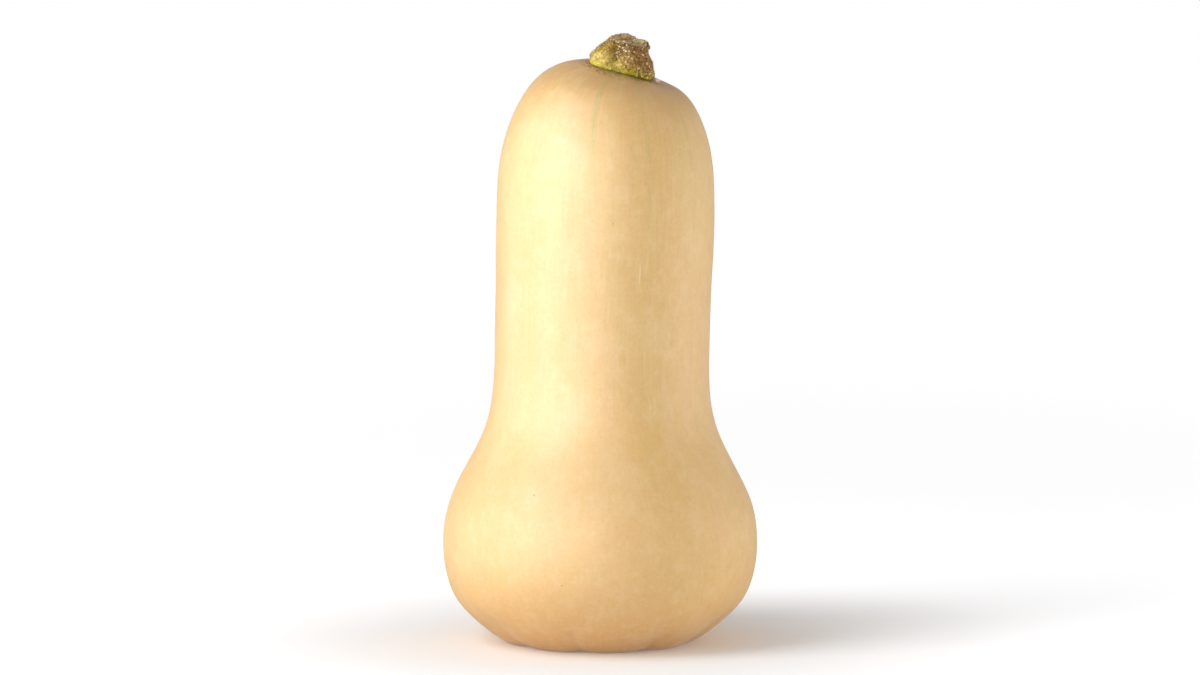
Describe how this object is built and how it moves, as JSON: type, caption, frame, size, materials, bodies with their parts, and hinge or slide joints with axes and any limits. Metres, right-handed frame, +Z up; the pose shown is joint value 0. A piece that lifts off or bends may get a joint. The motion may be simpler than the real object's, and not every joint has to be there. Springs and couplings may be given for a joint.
{
  "type": "butternut squash",
  "caption": "Whole butternut squash standing on its lobed blossom end: round bulb, long straight neck, sloping crown and a short cut stem.",
  "frame": {"origin": "on the resting plane, under the middle of the bulb", "axes": "+Z up along the fruit from the blossom end to the stem; the crown slopes down towards +X; -Y is the side the cut top of the stem tips towards"},
  "size_m": [0.1244, 0.1244, 0.2398],
  "materials": {
    "rind": "smooth waxy squash rind, satin",
    "stalk": "dry corky stalk, rough"
  },
  "bodies": {
    "root": {"squash_fruit": "rind", "stem": "stalk"}
  },
  "joints": []
}
